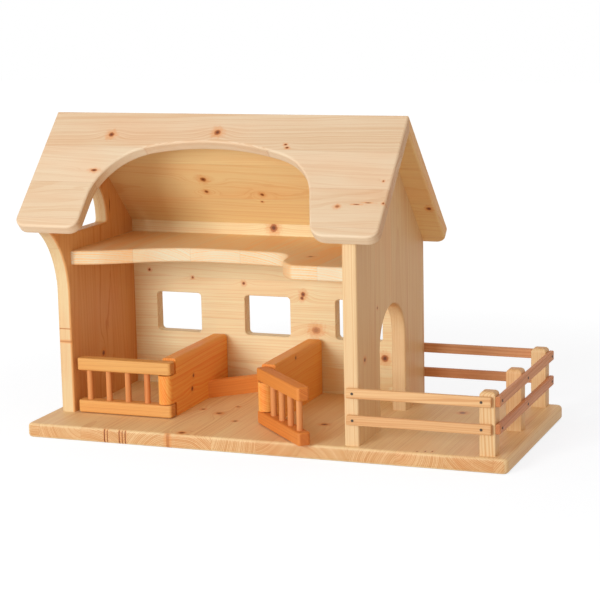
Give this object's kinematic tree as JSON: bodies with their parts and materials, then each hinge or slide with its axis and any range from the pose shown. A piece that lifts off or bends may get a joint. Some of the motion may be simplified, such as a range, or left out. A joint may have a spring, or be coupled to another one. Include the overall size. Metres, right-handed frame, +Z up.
{
  "type": "toy barn",
  "caption": "Wooden toy barn on a rounded base board, with stalls, hinged stall gates, a hay loft under a pitched roof with an arched cut-out, and a fenced paddock beside a doorway.",
  "frame": {"origin": "centre of the base board's underside", "axes": "+X along the base board towards the paddock end, +Y towards the back wall, +Z up"},
  "size_m": [0.616, 0.2978, 0.3937],
  "materials": {
    "base_wood": "sanded, clear oiled",
    "wall_wood": "sanded, clear oiled",
    "loft_wood": "sanded, clear oiled",
    "roof_wood": "sanded, clear oiled",
    "partition_wood": "sanded, clear oiled",
    "manger_wood": "sanded, clear oiled",
    "post_wood": "sanded, clear oiled",
    "rail_wood": "sanded, clear oiled",
    "dark_rail_wood": "sanded, clear oiled",
    "spindle_wood": "sanded, clear oiled",
    "gate_wood": "sanded, clear oiled",
    "dowel_wood": "plain",
    "steel": "plain"
  },
  "bodies": {
    "barn": {"back_corner_post": "post_wood", "back_wall": "wall_wood", "back_wall_dowels": "dowel_wood", "base_board": "base_wood", "base_screws": "steel", "fence_back_lower_rail": "dark_rail_wood", "fence_back_upper_rail": "dark_rail_wood", "fence_front_lower_rail": "rail_wood", "fence_front_upper_rail": "rail_wood", "fence_nails": "steel", "fence_side_lower_rail": "dark_rail_wood", "fence_side_upper_rail": "dark_rail_wood", "front_corner_post": "post_wood", "front_roof_panel": "roof_wood", "left_gable_wall": "wall_wood", "left_gate_hinge_pins": "steel", "left_partition": "partition_wood", "loft_dowels": "dowel_wood", "loft_floor": "loft_wood", "manger_board": "manger_wood", "rear_roof_panel": "roof_wood", "right_gable_wall": "wall_wood", "right_gate_hinge_pins": "steel", "right_partition": "partition_wood", "roof_dowels": "dowel_wood", "side_middle_post": "post_wood"},
    "left_gate": {"left_gate_top_rail": "gate_wood", "left_gate_bottom_rail": "gate_wood", "left_gate_spindles": "spindle_wood"},
    "right_gate": {"right_gate_top_rail": "gate_wood", "right_gate_bottom_rail": "gate_wood", "right_gate_spindles": "spindle_wood"}
  },
  "joints": [
    {"name": "left_gate_hinge", "type": "hinge", "parent": "barn", "child": "left_gate", "pos_m": [-0.15, -0.063, 0.054], "axis": [0, 0, 1], "range_deg": [-18, 110]},
    {"name": "right_gate_hinge", "type": "hinge", "parent": "barn", "child": "right_gate", "pos_m": [-0.016, -0.063, 0.054], "axis": [0, 0, -1], "range_deg": [-64, 64]}
  ]
}
